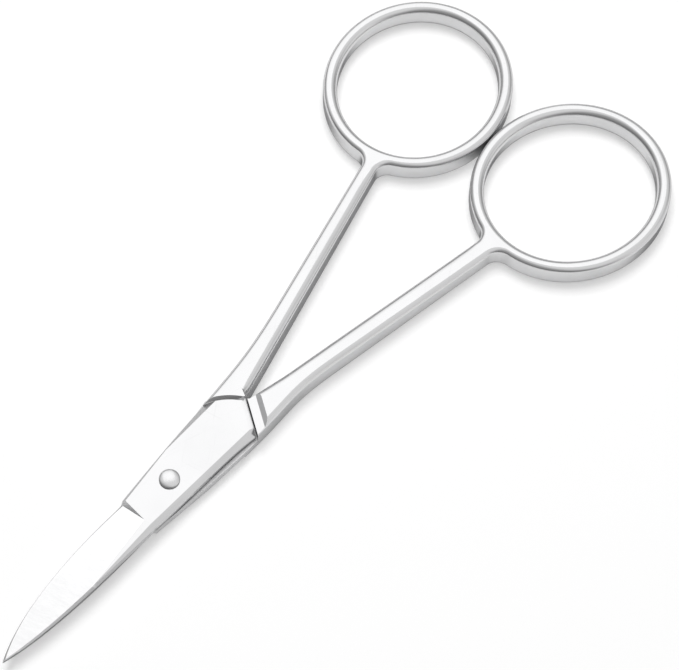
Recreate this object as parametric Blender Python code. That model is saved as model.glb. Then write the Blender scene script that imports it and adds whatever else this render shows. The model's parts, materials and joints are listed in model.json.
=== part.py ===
"""Facial hair scissors: a front half and a rear half that cross on one pivot rivet.

Metres, +Z up. The scissors lie flat and closed. The origin is on the pivot's axis, at the
underside of the joint. +Y points to the finger rings and -Y to the tips. Both halves are
drawn the way the front half lies, with the ring at -X, the shank's inner side towards +X,
and the plate and blade above the lap plane, which is z = 0 of a half's own frame. The rear
half is then turned half a turn about the Y axis.
"""
import math
from dataclasses import dataclass
from functools import cached_property

import bmesh
import bpy
from mathutils import Matrix, Vector
from mathutils.geometry import interpolate_bezier

# Finger ring: an oval bar with rounded edges.
RING_RADIUS_ACROSS = 0.01135
RING_RADIUS_ALONG = 0.0126
RING_BAR_WIDTH = 0.00236
RING_HEIGHT = 0.00277
RING_FROM_PIVOT = 0.06515
RING_GAP = 0.00016
EDGE_ROUNDING = 0.00095
ROUNDED_SHARE = 0.45
ROUND_PROFILE = 0.5

# Shank, from the ring down to the crotch where the two shanks meet.
SHANK_RISE = 0.0005
SHANK_FULL_HEIGHT_LENGTH = 0.007
FILLET_RADIUS = 0.0019
CROTCH_FROM_PIVOT = 0.01443
CROTCH_GAP = 0.00015
FLARE_LENGTH = 0.006

# Joint plate: half of the lap, with its end against the other half's shoulder.
PLATE_THICKNESS = 0.0014
LAP_GAP = 0.0001
PLATE_END_ANGLE = math.radians(35.7)
PLATE_CORNER_X = 0.0041
SHOULDER_GAP = 0.00015
SHOULDER_STRIP = 0.0011
STEP_SLOPE = 0.7
STEP_WHEEL_TURN = math.radians(27)
STEP_SETBACK = 0.0001

# Ground facets along the edges of the plate.
OUTER_FACET_WIDTH_AT_STEP = 0.00085
OUTER_FACET_WIDTH_AT_HEEL = 0.00055
OUTER_FACET_SLOPE_AT_STEP = 0.5
OUTER_FACET_SLOPE_AT_HEEL = 0.9
SPINE_FACET_TOP_AT_CORNER = 0.0033
SPINE_FACET_TOP_AT_HEEL = 0.00213
SPINE_FACET_SLOPE = 0.9
END_FACET_WIDTH = 0.0006
END_FACET_SLOPE = 0.2

# Blade: hollow side on the lap plane, ground face on the outside.
BLADE_FROM_PIVOT = 0.0301
HEEL_FROM_PIVOT = 0.006
HEEL_SPINE_X = 0.00275
SPINE_BELLY = 0.0021
FACE_START_X = 0.0012
FACE_WALL_SLOPE = 2.0
EDGE_THICKNESS = 0.00043
TIP_THICKNESS = 0.00055
CUTTING_BEVEL_SLOPE = 1.7
CUTTING_LAND = 0.00006

# Handles of the plan's curves, as shares of the way along and of the width at their start.
UPPER_HANDLE = 0.3
EDGE_LOWER_HANDLE = 0.735
SPINE_LOWER_HANDLE = 0.7
SPINE_FULLNESS = 0.84
WAIST_HANDLE = 0.4
WAIST_FULLNESS = 1.22
CORNER_HANDLE = 0.78
CORNER_FULLNESS = 0.83

# Front half: the sizes that the two hand-ground halves don't share.
FRONT_WIDTH_AT_RING = 0.0021
FRONT_WIDTH_AT_JOINT = 0.00264
FRONT_CROTCH_SETBACK = 0.0
FRONT_CROTCH_FLARE = 0.0
FRONT_OUTER_BEND = 0.0276
FRONT_OUTER_EASE = 0.0116
FRONT_OUTER_STRAIGHT = 0.022
FRONT_OUTER_LEAN = 0.0654
FRONT_STEP_RADIUS = 0.0085
FRONT_HEEL_EDGE_X = 0.00258
FRONT_EDGE_FULLNESS = 1.2
FRONT_EDGE_BELLY = 0.0031

# Rear half: the same sizes.
REAR_WIDTH_AT_RING = 0.00256
REAR_WIDTH_AT_JOINT = 0.00251
REAR_CROTCH_SETBACK = 0.0007
REAR_CROTCH_FLARE = 0.0003
REAR_OUTER_BEND = 0.0255
REAR_OUTER_EASE = 0.0108
REAR_OUTER_STRAIGHT = 0.025
REAR_OUTER_LEAN = 0.14
REAR_STEP_RADIUS = 0.0096
REAR_HEEL_EDGE_X = 0.0026
REAR_EDGE_FULLNESS = 1.0
REAR_EDGE_BELLY = 0.0021

# Pivot rivet: domed head above, peened tail flush in a countersink below.
PIN_RADIUS = 0.001
PIN_CLEARANCE = 0.00003
HEAD_RADIUS = 0.00129
HEAD_RIM = 0.00014
HEAD_DOME = 0.0004
HEAD_CLEARANCE = 0.00004
TAIL_RADIUS = 0.0014
TAIL_DEPTH = 0.0005

# How finely the curves are cut into straight pieces.
RING_STEPS = 60
HOLE_STEPS = 56
FILLET_STEPS = 6
FLARE_STEPS = 3
CURVE_STEPS = 12
EDGE_STEPS = 18
ROUNDING_STEPS = 3
WHEEL_STEPS = 16
PIN_STEPS = 40
DOME_STEPS = 5
SETTLE_ROUNDS = 8
HALVINGS = 40
SHARP_ANGLE = math.radians(28)

# Cutters reach this far past whatever they cut.
PAST = 0.002
CUTTER_REACH = 0.05

# Vertices nearer than this are one.
SAME_PLACE = 1e-7

# Heights above the lap plane.
RIDE_HEIGHT = LAP_GAP / 2
PLATE_TOP = RIDE_HEIGHT + PLATE_THICKNESS
SHANK_TOP = PLATE_TOP + SHANK_RISE
RING_TOP = RING_HEIGHT / 2
RING_HALF_BAR = RING_BAR_WIDTH / 2
RING_REACH = RING_RADIUS_ALONG + RING_HALF_BAR
BLANK_TOP = EDGE_ROUNDING / ROUNDED_SHARE

UP = Vector((0, 0, 1))
LAP_CORNER = Vector((-CROTCH_GAP / 2, CROTCH_FROM_PIVOT))
TIP = Vector((0, -BLADE_FROM_PIVOT))
HEEL_SPINE = Vector((HEEL_SPINE_X, -HEEL_FROM_PIVOT))
END_ALONG = Vector((math.cos(PLATE_END_ANGLE), -math.sin(PLATE_END_ANGLE)))
END_OUT = Vector((math.sin(PLATE_END_ANGLE), math.cos(PLATE_END_ANGLE)))
END_LENGTH = (PLATE_CORNER_X - LAP_CORNER.x) / END_ALONG.x
PLATE_CORNER = LAP_CORNER + END_ALONG * END_LENGTH
SHOULDER_ALONG = Vector((-END_ALONG.x, END_ALONG.y))
SHOULDER_OUT = Vector((-END_OUT.x, END_OUT.y))
STEP_TOWARD_TIP = Vector((math.sin(STEP_WHEEL_TURN), -math.cos(STEP_WHEEL_TURN)))


def clear_scene():
    """Removes whatever the scene holds at the start."""
    for obj in list(bpy.data.objects):
        bpy.data.objects.remove(obj)


def ring_oval(turn, outwards):
    """(along, aside) on the ring's oval, measured outwards from the middle of its bar."""
    on_oval = Vector((RING_RADIUS_ALONG * math.cos(turn), RING_RADIUS_ACROSS * math.sin(turn)))
    normal = Vector((math.cos(turn) / RING_RADIUS_ALONG, math.sin(turn) / RING_RADIUS_ACROSS))
    return on_oval + normal.normalized() * outwards


def bezier(start, handle, other_handle, end, steps):
    """Points along a cubic curve in plan, with both its ends."""
    knots = [point.to_3d() for point in (start, handle, other_handle, end)]
    return [point.to_2d() for point in interpolate_bezier(*knots, steps + 1)]


def along_blade(share):
    """How far along Y a share of the way from the heel to the tip is."""
    return -HEEL_FROM_PIVOT - share * (BLADE_FROM_PIVOT - HEEL_FROM_PIVOT)


@dataclass(frozen=True)
class HalfPlan:
    """The plan of one half, from the sizes that the two halves don't share."""

    width_at_ring: float
    width_at_joint: float
    crotch_setback: float
    crotch_flare: float
    outer_bend: float
    outer_ease: float
    outer_straight: float
    outer_lean: float
    step_radius: float
    heel_edge_x: float
    edge_fullness: float
    edge_belly: float

    @property
    def crotch(self):
        """Where the straight of the shank's inner side meets the line of the plate's end."""
        return LAP_CORNER - END_ALONG * self.crotch_setback

    @property
    def heel_edge(self):
        """Where the cutting edge starts."""
        return Vector((-self.heel_edge_x, -HEEL_FROM_PIVOT))

    @property
    def step_foot_radius(self):
        """Radius of the step's wheel where it meets the plate."""
        return self.step_radius - SHANK_RISE * STEP_SLOPE

    @property
    def step_centre(self):
        """Centre of the wheel that cuts the arched step."""
        return LAP_CORNER + STEP_TOWARD_TIP * (self.step_radius + STEP_SETBACK)

    @cached_property
    def ring_place(self):
        """The ring's centre, and the unit vector from it down the middle of the shank.

        The shank's inner side aims at the crotch and its middle line at the ring's centre,
        which lies where the closed rings keep RING_GAP between them.
        """
        centre = Vector((-RING_RADIUS_ACROSS, RING_FROM_PIVOT))
        down = (self.crotch - centre).normalized()
        for _ in range(SETTLE_ROUNDS):
            reach = math.hypot(RING_RADIUS_ACROSS * down.y, RING_RADIUS_ALONG * down.x)
            centre.x = -(reach + RING_HALF_BAR + RING_GAP / 2)
            to_crotch = self.crotch - centre
            lean = math.asin(self.width_at_joint / 2 / to_crotch.length)
            down = Matrix.Rotation(-lean, 2) @ to_crotch.normalized()
        return centre, down

    @property
    def arm_length(self):
        """From the ring's centre to the crotch, down the shank."""
        centre, down = self.ring_place
        return (self.crotch - centre).dot(down)

    def arm_point(self, along, aside):
        """The point that lies this far down the shank from the ring's centre and this far out."""
        centre, down = self.ring_place
        return centre + down * along + Vector((down.y, -down.x)) * aside

    def fillet(self):
        """The turn where the fillet meets the ring, and its (along, aside) points."""
        start = Vector((RING_REACH, self.width_at_ring / 2))
        side = (Vector((self.arm_length, self.width_at_joint / 2)) - start).normalized()
        away = Vector((-side.y, side.x))
        low, high = 0.0, math.pi / 2
        for _ in range(HALVINGS):
            turn = (low + high) / 2
            middle = ring_oval(turn, RING_HALF_BAR + FILLET_RADIUS)
            if (middle - start).dot(away) < FILLET_RADIUS:
                low = turn
            else:
                high = turn
        first = -away
        sweep = first.angle_signed(ring_oval(turn, RING_HALF_BAR) - middle)
        points = []
        for step in range(FILLET_STEPS):
            spoke = Matrix.Rotation(-sweep * step / FILLET_STEPS, 2) @ first
            points.append(middle + spoke * FILLET_RADIUS)
        return turn, points

    def inner_flare(self):
        """Plan of the inner side's first stretch, which flares in towards the other half."""
        inner_top = self.arm_point(RING_REACH, -self.width_at_ring / 2)
        along = (inner_top - self.crotch).normalized()
        start = self.crotch + END_ALONG * self.crotch_flare
        end = self.crotch + along * FLARE_LENGTH
        reach = along * FLARE_LENGTH / 3
        return bezier(start, start + reach, end - reach, end, FLARE_STEPS)

    def arm_outline(self):
        """Plan of the shank and the ring's outside: up the inner side and down the outer."""
        turn, rise = self.fillet()
        inner = [self.arm_point(point.x, -point.y) for point in rise]
        outer = [self.arm_point(point.x, point.y) for point in reversed(rise)]
        sweep = 2 * math.pi - 2 * turn
        ring = []
        for step in range(RING_STEPS + 1):
            angle = -turn - sweep * step / RING_STEPS
            ring.append(self.arm_point(*ring_oval(angle, RING_HALF_BAR)))
        return [*self.inner_flare(), *inner, *ring, *outer]

    def outer_side(self):
        """Plan of the outer side, from the straight of the shank down to the blade's heel."""
        top = self.arm_point(RING_REACH, self.width_at_ring / 2)
        bottom = self.arm_point(self.arm_length, self.width_at_joint / 2)
        slope = (bottom - top).normalized()
        start = bottom + slope * ((self.outer_bend - bottom.y) / slope.y)
        easing = start + slope * self.outer_ease
        leaning = Vector((-self.outer_lean, 1)) * self.outer_straight
        return bezier(start, easing, self.heel_edge + leaning, self.heel_edge, CURVE_STEPS)

    def outer_side_x(self, y):
        """X of the outer side at this y."""
        side = self.outer_side()
        for above, below in zip(side, side[1:]):
            if below.y <= y:
                share = (above.y - y) / (above.y - below.y)
                return above.x + (below.x - above.x) * share
        return self.heel_edge.x

    def cutting_edge(self):
        """Plan of the cutting edge, from the heel to the tip."""
        upper = Vector((-self.edge_fullness * self.heel_edge_x, along_blade(UPPER_HANDLE)))
        lower = Vector((-self.edge_belly, along_blade(EDGE_LOWER_HANDLE)))
        return bezier(self.heel_edge, upper, lower, TIP, EDGE_STEPS)

    def outline(self):
        """Plan of the whole half, without the finger hole."""
        return [
            *self.arm_outline(),
            *self.outer_side()[:-1],
            *self.cutting_edge()[:-1],
            *spine()[:-1],
            *inner_side(),
        ]

    def step_foot(self, x):
        """The point on the foot of the step at this x."""
        aside = x - self.step_centre.x
        return Vector((x, self.step_centre.y + math.sqrt(self.step_foot_radius**2 - aside**2)))


def spine():
    """Plan of the blade's back, from the tip to the heel."""
    lower = Vector((SPINE_BELLY, along_blade(SPINE_LOWER_HANDLE)))
    upper = Vector((SPINE_FULLNESS * HEEL_SPINE_X, along_blade(UPPER_HANDLE)))
    return bezier(TIP, lower, upper, HEEL_SPINE, CURVE_STEPS)


def inner_side():
    """Plan of the plate's side over the other half, from the heel up to the plate's corner."""
    rise = PLATE_CORNER.y + HEEL_FROM_PIVOT
    lower = Vector((WAIST_FULLNESS * HEEL_SPINE_X, HEEL_SPINE.y + WAIST_HANDLE * rise))
    upper = Vector((CORNER_FULLNESS * PLATE_CORNER_X, HEEL_SPINE.y + CORNER_HANDLE * rise))
    return bezier(HEEL_SPINE, lower, upper, PLATE_CORNER, CURVE_STEPS)


FRONT_PLAN = HalfPlan(
    width_at_ring=FRONT_WIDTH_AT_RING,
    width_at_joint=FRONT_WIDTH_AT_JOINT,
    crotch_setback=FRONT_CROTCH_SETBACK,
    crotch_flare=FRONT_CROTCH_FLARE,
    outer_bend=FRONT_OUTER_BEND,
    outer_ease=FRONT_OUTER_EASE,
    outer_straight=FRONT_OUTER_STRAIGHT,
    outer_lean=FRONT_OUTER_LEAN,
    step_radius=FRONT_STEP_RADIUS,
    heel_edge_x=FRONT_HEEL_EDGE_X,
    edge_fullness=FRONT_EDGE_FULLNESS,
    edge_belly=FRONT_EDGE_BELLY,
)
REAR_PLAN = HalfPlan(
    width_at_ring=REAR_WIDTH_AT_RING,
    width_at_joint=REAR_WIDTH_AT_JOINT,
    crotch_setback=REAR_CROTCH_SETBACK,
    crotch_flare=REAR_CROTCH_FLARE,
    outer_bend=REAR_OUTER_BEND,
    outer_ease=REAR_OUTER_EASE,
    outer_straight=REAR_OUTER_STRAIGHT,
    outer_lean=REAR_OUTER_LEAN,
    step_radius=REAR_STEP_RADIUS,
    heel_edge_x=REAR_HEEL_EDGE_X,
    edge_fullness=REAR_EDGE_FULLNESS,
    edge_belly=REAR_EDGE_BELLY,
)


def add_object(name, bm):
    """Makes an object of the bmesh, with its faces turned outwards."""
    bmesh.ops.recalc_face_normals(bm, faces=bm.faces)
    mesh = bpy.data.meshes.new(name)
    bm.to_mesh(mesh)
    bm.free()
    obj = bpy.data.objects.new(name, mesh)
    bpy.context.scene.collection.objects.link(obj)
    return obj


def blank(name, plan):
    """The forged blank of one half: its plan at full height, rounded from the ring to the step."""
    bm = bmesh.new()
    corners = [bm.verts.new((point.x, point.y, -BLANK_TOP)) for point in plan.outline()]
    bottom = bm.faces.new(corners)
    raised = bmesh.ops.extrude_face_region(bm, geom=[bottom])
    top = [item for item in raised["geom"] if isinstance(item, bmesh.types.BMVert)]
    bmesh.ops.translate(bm, verts=top, vec=UP * 2 * BLANK_TOP)
    rounded_from = PLATE_CORNER.y - PAST
    rims = []
    for edge in bm.edges:
        ends = [vert.co for vert in edge.verts]
        level = abs(ends[0].z - ends[1].z) < BLANK_TOP
        above = min(end.y for end in ends) > rounded_from
        if level and above and max(end.x for end in ends) < 0:
            rims.append(edge)
    bmesh.ops.bevel(
        bm,
        geom=rims,
        offset=EDGE_ROUNDING,
        segments=ROUNDING_STEPS,
        profile=ROUND_PROFILE,
        affect="EDGES",
        material=-1,
    )
    taper(bm, plan)
    return add_object(name, bm)


def taper(bm, plan):
    """Draws the blank up to its height, which falls evenly from the joint to the ring.

    The ring's flats are split across too, so that the finger hole leaves no face with a hole.
    """
    centre, down = plan.ring_place
    thin = RING_REACH + FILLET_RADIUS
    thick = plan.arm_length - SHANK_FULL_HEIGHT_LENGTH
    for along in (0, thin, thick):
        geometry = [*bm.verts, *bm.edges, *bm.faces]
        plane_point = plan.arm_point(along, 0).to_3d()
        bmesh.ops.bisect_plane(
            bm, geom=geometry, dist=SAME_PLACE, plane_co=plane_point, plane_no=down.to_3d()
        )
    for vert in bm.verts:
        along = (vert.co.to_2d() - centre).dot(down)
        share = min(max((along - thin) / (thick - thin), 0.0), 1.0)
        height = RING_TOP + (SHANK_TOP - RING_TOP) * share
        vert.co.z *= height / BLANK_TOP


def loft(name, sections):
    """A closed solid through level or upright sections, with a flat cap at both ends."""
    bm = bmesh.new()
    rings = []
    for section in sections:
        verts = [bm.verts.new(point) for point in section]
        rings.append(verts)
        for first, second in zip(verts, verts[1:] + verts[:1]):
            bm.edges.new((first, second))
    for lower, upper in zip(rings, rings[1:]):
        around = [loop_edge(ring, index) for ring in (lower, upper) for index in range(len(ring))]
        bmesh.ops.bridge_loops(bm, edges=around)
    for end in (rings[0], rings[-1]):
        bm.faces.new(end)
    return add_object(name, bm)


def loop_edge(ring, index):
    """The edge from one vertex of a closed ring to the next."""
    following = ring[(index + 1) % len(ring)]
    return next(edge for edge in ring[index].link_edges if edge.other_vert(ring[index]) == following)


def level_prism(name, plan, height, spread_plan=None):
    """A cutter whose floor has this plan and height, with walls up to a wider plan above."""
    floor = [point.to_3d() + UP * height for point in plan]
    roof = [point.to_3d() + UP * (height + CUTTER_REACH) for point in spread_plan or plan]
    return loft(name, [floor, roof])


def turned_solid(name, profile):
    """A solid turned about Z from (radius, height) points that start and end on the axis."""
    bm = bmesh.new()
    verts = [bm.verts.new((radius, 0, height)) for radius, height in profile]
    edges = [bm.edges.new(pair) for pair in zip(verts, verts[1:])]
    bmesh.ops.spin(
        bm,
        geom=[*verts, *edges],
        cent=(0, 0, 0),
        axis=UP,
        angle=2 * math.pi,
        steps=PIN_STEPS,
        use_merge=True,
    )
    bmesh.ops.remove_doubles(bm, verts=bm.verts, dist=SAME_PLACE)
    return add_object(name, bm)


def cut(body, cutter):
    """Takes the cutter away from the body and hides it."""
    cutter.parent = body
    cutter.hide_render = True
    cutter.display_type = "WIRE"
    modifier = body.modifiers.new(cutter.name, "BOOLEAN")
    modifier.operation = "DIFFERENCE"
    modifier.solver = "EXACT"
    modifier.object = cutter


def underside(cutter):
    """Turns a cutter over, so that it works from below the lap plane."""
    cutter.data.transform(Matrix.Diagonal((1, 1, -1, 1)))
    cutter.data.flip_normals()
    return cutter


def joint_side(line_point, along, out):
    """Plan of everything on the joint's side of a line, which starts the list."""
    left = line_point + along * CUTTER_REACH
    right = line_point - along * CUTTER_REACH
    return [left, right, right - out * CUTTER_REACH, left - out * CUTTER_REACH]


def finger_hole(name, plan):
    """Spool that cuts the finger hole and rounds both of its rims."""
    rounding_height = ROUNDED_SHARE * RING_TOP
    profile = []
    for step in range(ROUNDING_STEPS + 1):
        turn = math.pi / 2 * step / ROUNDING_STEPS
        widening = EDGE_ROUNDING * (1 - math.cos(turn))
        height = RING_TOP - rounding_height * (1 - math.sin(turn))
        profile.append(Vector((widening - RING_HALF_BAR, height)))
    profile.append(profile[-1] * 2 - profile[-2])
    lower = [Vector((point.x, -point.y)) for point in reversed(profile)]
    sections = []
    for level in [*lower, *profile]:
        turns = [2 * math.pi * step / HOLE_STEPS for step in range(HOLE_STEPS)]
        oval = [plan.arm_point(*ring_oval(turn, level.x)) for turn in turns]
        sections.append([point.to_3d() + UP * level.y for point in oval])
    return loft(name, sections)


def joint_flat(name, plan):
    """Wheel cut that levels the plate and leaves the arched step at the end of the shank."""
    centre = plan.step_centre
    levels = []
    for radius in (plan.step_foot_radius, plan.step_foot_radius + CUTTER_REACH * STEP_SLOPE):
        level = []
        for step in range(WHEEL_STEPS + 1):
            turn = math.pi - math.pi / 2 * step / WHEEL_STEPS
            level.append(centre + Vector((math.cos(turn), math.sin(turn))) * radius)
        right = centre.x + radius
        level.append(Vector((right, centre.y + radius)))
        level.append(Vector((right, -CUTTER_REACH)))
        level.append(Vector((centre.x - radius, -CUTTER_REACH)))
        levels.append(level)
    return level_prism(name, levels[0], PLATE_TOP, levels[1])


def underside_flat(name):
    """Cut that levels the shank's underside where the other half's plate ends."""
    foot = LAP_CORNER + SHOULDER_OUT * (SHOULDER_GAP + SHOULDER_STRIP)
    brow = foot + SHOULDER_OUT * CUTTER_REACH * STEP_SLOPE
    plan = joint_side(foot, SHOULDER_ALONG, SHOULDER_OUT)
    spread_plan = joint_side(brow, SHOULDER_ALONG, SHOULDER_OUT)
    return underside(level_prism(name, plan, PLATE_TOP, spread_plan))


def lap_cut(name):
    """Cut that takes the lower half away, up to the shoulder that the other plate stops at."""
    shoulder = LAP_CORNER + SHOULDER_OUT * SHOULDER_GAP
    left = shoulder + SHOULDER_ALONG * CUTTER_REACH
    corner = shoulder - SHOULDER_ALONG * (shoulder.x / SHOULDER_ALONG.x)
    right = Vector((CUTTER_REACH, corner.y))
    below = Vector((0, -2 * CUTTER_REACH))
    plan = [left, corner, right, right + below, left + below]
    return underside(level_prism(name, plan, -RIDE_HEIGHT))


def face_height(plan, point):
    """Height of the blade's ground face over a point in plan."""
    across = (PLATE_TOP - RIDE_HEIGHT - EDGE_THICKNESS) / (FACE_START_X + plan.heel_edge_x)
    at_heel = PLATE_TOP - across * FACE_START_X
    fall = at_heel - RIDE_HEIGHT - TIP_THICKNESS
    along = fall / (BLADE_FROM_PIVOT - HEEL_FROM_PIVOT)
    return at_heel + across * point.x + along * (point.y + HEEL_FROM_PIVOT)


def blade_face(name, plan):
    """Cut that grinds the blade down from its back to its edge, from the heel line on."""
    far = BLADE_FROM_PIVOT + PAST
    wide = PLATE_CORNER_X + PAST
    corners = [(-wide, -HEEL_FROM_PIVOT), (wide, -HEEL_FROM_PIVOT), (wide, -far), (-wide, -far)]
    points = [Vector(corner) for corner in corners]
    floor = [point.to_3d() + UP * face_height(plan, point) for point in points]
    lean = Vector((0, SHANK_TOP / FACE_WALL_SLOPE, SHANK_TOP))
    roof = [floor[0] + lean, floor[1] + lean, floor[2] + UP * SHANK_TOP, floor[3] + UP * SHANK_TOP]
    return loft(name, [floor, roof])


def facet(name, line, inwards, slopes, inside):
    """Cut above a strip that passes through a line and rises inwards at these slopes."""
    sections = []
    for point, inward, slope in zip(line, inwards, slopes):
        rise = inward.to_3d() + UP * slope
        low = point - rise * PAST
        high = point + rise * inside
        sections.append([low, high, high + UP * CUTTER_REACH, low + UP * CUTTER_REACH])
    return loft(name, sections)


def inward_at(line, index):
    """The unit vector to the left of a line in plan at one of its points."""
    before = line[max(index - 1, 0)]
    after = line[min(index + 1, len(line) - 1)]
    run = (after - before).normalized()
    return Vector((-run.y, run.x))


def straight_facet(name, ends, slope):
    """A facet along straight stretches; inwards is to the left, going down the list."""
    line = [end.to_3d() + UP * PLATE_TOP for end in ends]
    inwards = [inward_at(ends, index) for index in range(len(ends))]
    return facet(name, line, inwards, [slope] * len(ends), EDGE_ROUNDING)


def outer_facet(name, plan):
    """Facet on the plate's outer side, from the foot of the step to the heel."""
    at_step = LAP_CORNER
    for _ in range(SETTLE_ROUNDS):
        at_step = plan.step_foot(plan.outer_side_x(at_step.y))
    top = plan.step_foot(at_step.x + OUTER_FACET_WIDTH_AT_STEP)
    bottom = plan.heel_edge + Vector((OUTER_FACET_WIDTH_AT_HEEL, -PAST))
    inward = inward_at([top, bottom], 0)
    along_step = (top - at_step) / (top - at_step).dot(inward)
    line = [point.to_3d() + UP * PLATE_TOP for point in (top, bottom)]
    slopes = [OUTER_FACET_SLOPE_AT_STEP, OUTER_FACET_SLOPE_AT_HEEL]
    return facet(name, line, [along_step, inward], slopes, PAST)


def spine_facet(name):
    """Facet on the plate's inner side and on down the blade's back, where it runs out."""
    corner = Vector((SPINE_FACET_TOP_AT_CORNER, PLATE_CORNER.y + PAST))
    heel = Vector((SPINE_FACET_TOP_AT_HEEL, -HEEL_FROM_PIVOT))
    end = Vector((SPINE_FACET_TOP_AT_HEEL, -BLADE_FROM_PIVOT))
    return straight_facet(name, [end, heel, corner], SPINE_FACET_SLOPE)


def end_facet(name):
    """Facet along the plate's end, beside the other half's shoulder."""
    inset = END_OUT * END_FACET_WIDTH
    start = LAP_CORNER - inset
    end = PLATE_CORNER + END_ALONG * PAST - inset
    return straight_facet(name, [end, start], END_FACET_SLOPE)


def cutting_bevel(name, plan):
    """Steep bevel along the cutting edge, down to a narrow land above the ride face."""
    edge = plan.cutting_edge()
    line = [point.to_3d() + UP * (RIDE_HEIGHT + CUTTING_LAND) for point in edge]
    inwards = [inward_at(edge, index) for index in range(len(edge))]
    return facet(name, line, inwards, [CUTTING_BEVEL_SLOPE] * len(edge), EDGE_THICKNESS)


def half(name, plan, peened):
    """One half of the scissors, lying as the front half lies."""
    body = blank(name, plan)
    cut(body, finger_hole(name + "_finger_hole", plan))
    cut(body, joint_flat(name + "_joint_flat", plan))
    cut(body, underside_flat(name + "_underside_flat"))
    cut(body, lap_cut(name + "_lap_cut"))
    cut(body, blade_face(name + "_blade_face", plan))
    cut(body, outer_facet(name + "_outer_facet", plan))
    cut(body, spine_facet(name + "_spine_facet"))
    cut(body, end_facet(name + "_end_facet"))
    cut(body, cutting_bevel(name + "_cutting_bevel", plan))
    cut(body, pivot_hole(name + "_pivot_hole", peened))
    return body


def pivot_hole(name, peened):
    """Hole for the pin, with a countersink for the tail in the half that it is peened into."""
    radius = PIN_RADIUS + PIN_CLEARANCE
    profile = [(0, -PAST), (radius, -PAST)]
    if peened:
        sink = TAIL_RADIUS + PIN_CLEARANCE
        widening = (TAIL_RADIUS - PIN_RADIUS) / TAIL_DEPTH
        profile.append((radius, PLATE_TOP - TAIL_DEPTH))
        profile.append((sink + widening * PAST, PLATE_TOP + PAST))
    else:
        profile.append((radius, PLATE_TOP + PAST))
    profile.append((0, PLATE_TOP + PAST))
    return turned_solid(name, profile)


def pivot_rivet(name):
    """The rivet, with its tail's flat end in the plane of the rear half's plate."""
    seat = 2 * PLATE_TOP + HEAD_CLEARANCE
    rim = seat + HEAD_RIM
    profile = [(0, 0), (TAIL_RADIUS, 0), (PIN_RADIUS, TAIL_DEPTH), (PIN_RADIUS, seat)]
    profile.append((HEAD_RADIUS, seat))
    for step in range(DOME_STEPS + 1):
        turn = math.pi / 2 * step / DOME_STEPS
        profile.append((HEAD_RADIUS * math.cos(turn), rim + HEAD_DOME * math.sin(turn)))
    profile[-1] = (0, rim + HEAD_DOME)
    return turned_solid(name, profile)


def steel(name, colour, roughness):
    """A polished stainless steel."""
    material = bpy.data.materials.new(name)
    material.use_nodes = True
    shader = material.node_tree.nodes["Principled BSDF"]
    shader.inputs["Base Color"].default_value = (*colour, 1)
    shader.inputs["Metallic"].default_value = 1
    shader.inputs["Roughness"].default_value = roughness
    return material


def finish(obj, material):
    """Gives an object its steel, and smooth shading with crisp ground edges."""
    obj.data.materials.append(material)
    obj.data.shade_smooth()
    obj.data.set_sharp_from_angle(angle=SHARP_ANGLE)


def main():
    clear_scene()
    lap_height = Matrix.Translation(UP * PLATE_TOP)

    front = half("front_half", FRONT_PLAN, peened=False)
    front.matrix_world = lap_height

    rear = half("rear_half", REAR_PLAN, peened=True)
    rear.matrix_world = lap_height @ Matrix.Rotation(math.pi, 4, "Y")

    rivet = pivot_rivet("pivot_rivet")
    rivet.parent = rear
    rivet.matrix_parent_inverse = rear.matrix_world.inverted()

    finish(front, steel("front_steel", (0.78, 0.78, 0.79), 0.16))
    finish(rear, steel("rear_steel", (0.78, 0.78, 0.79), 0.16))
    finish(rivet, steel("rivet_steel", (0.72, 0.72, 0.73), 0.1))


main()
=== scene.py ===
"""Facial hair scissors: two forged steel halves on one rivet, dressed and lit in a plain studio.

Metres, +Z up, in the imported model's frame: +Y points from the pivot to the finger rings and
-Y to the tips. Both halves are drawn the way the front half lies, with the lap plane at z = 0
and the ring at -X, and are then set in their places in the mesh.
"""
import json
import logging
import math
from collections.abc import Callable, Iterable
from dataclasses import dataclass
from enum import Enum
from functools import cached_property

import bmesh
import bpy
from bmesh.types import BMEdge, BMesh, BMFace, BMVert
from bpy.types import Material, Mesh, Node, NodeOutputs, NodeSocket, NodeTree, Object
from mathutils import Euler, Matrix, Vector
from mathutils.geometry import interpolate_bezier

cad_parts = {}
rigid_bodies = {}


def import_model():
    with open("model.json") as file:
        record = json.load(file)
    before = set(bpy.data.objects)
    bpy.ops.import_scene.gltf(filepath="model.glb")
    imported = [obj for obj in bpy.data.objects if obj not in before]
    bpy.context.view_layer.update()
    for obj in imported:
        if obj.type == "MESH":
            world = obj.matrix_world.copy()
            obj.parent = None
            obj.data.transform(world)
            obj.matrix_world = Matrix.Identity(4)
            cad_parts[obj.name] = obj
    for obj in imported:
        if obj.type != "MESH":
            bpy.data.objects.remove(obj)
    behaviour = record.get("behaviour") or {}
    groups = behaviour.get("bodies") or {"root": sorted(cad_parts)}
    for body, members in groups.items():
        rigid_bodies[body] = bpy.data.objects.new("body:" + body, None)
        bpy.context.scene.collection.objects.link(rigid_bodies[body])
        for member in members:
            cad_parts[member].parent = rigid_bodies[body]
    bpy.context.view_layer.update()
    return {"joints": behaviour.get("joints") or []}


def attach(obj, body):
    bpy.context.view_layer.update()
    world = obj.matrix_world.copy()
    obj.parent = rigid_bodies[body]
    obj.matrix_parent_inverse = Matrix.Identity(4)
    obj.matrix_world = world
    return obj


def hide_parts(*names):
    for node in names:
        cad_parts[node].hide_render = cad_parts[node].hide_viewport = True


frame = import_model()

LOG = logging.getLogger("scissors")
UP = Vector((0, 0, 1))
LAP_HEIGHT = frame["joints"][0]["pos_m"][2]

# Cutters reach this far past whatever they cut.
PAST = 0.002
CUTTER_REACH = 0.05

# Vertices nearer than this touch, and faces that are flatter to each other than this are one.
TOUCHING = 0.0000002
SAME_PLANE = math.radians(0.02)

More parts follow.
